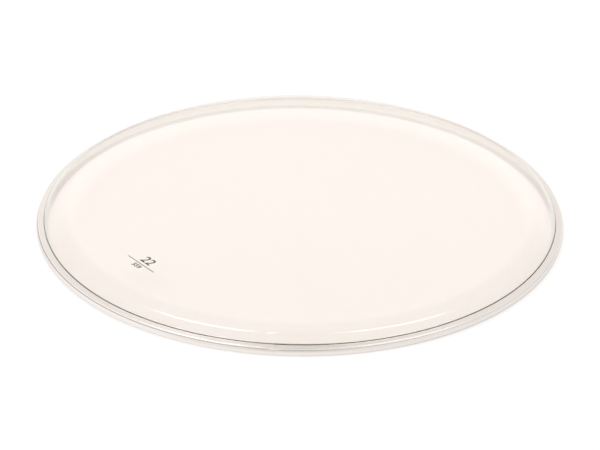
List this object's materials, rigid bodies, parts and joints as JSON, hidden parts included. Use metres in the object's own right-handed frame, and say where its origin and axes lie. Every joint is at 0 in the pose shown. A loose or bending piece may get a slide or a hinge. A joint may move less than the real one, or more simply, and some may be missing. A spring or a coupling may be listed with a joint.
{
  "type": "drum head",
  "caption": "Clear film drum head with a flat playing area, rounded crease and steep collar, its edge crimped into a slim rolled aluminium hoop that drops over a drum shell.",
  "frame": {"origin": "centre of the hoop's underside, on the head's axis", "axes": "+Z along the head's axis, up through the playing side; +X to the right of the picture, +Y away from its viewer"},
  "size_m": [0.579, 0.579, 0.0205],
  "materials": {
    "hoop_aluminium": "rolled, bright",
    "clear_film": "clear, glossy",
    "lock_plastic": "extruded, black",
    "splice_aluminium": "rolled"
  },
  "bodies": {
    "root": {"hoop_channel": "hoop_aluminium", "drum_film": "clear_film", "lock_ring": "lock_plastic", "joint_splice": "splice_aluminium"}
  },
  "joints": []
}
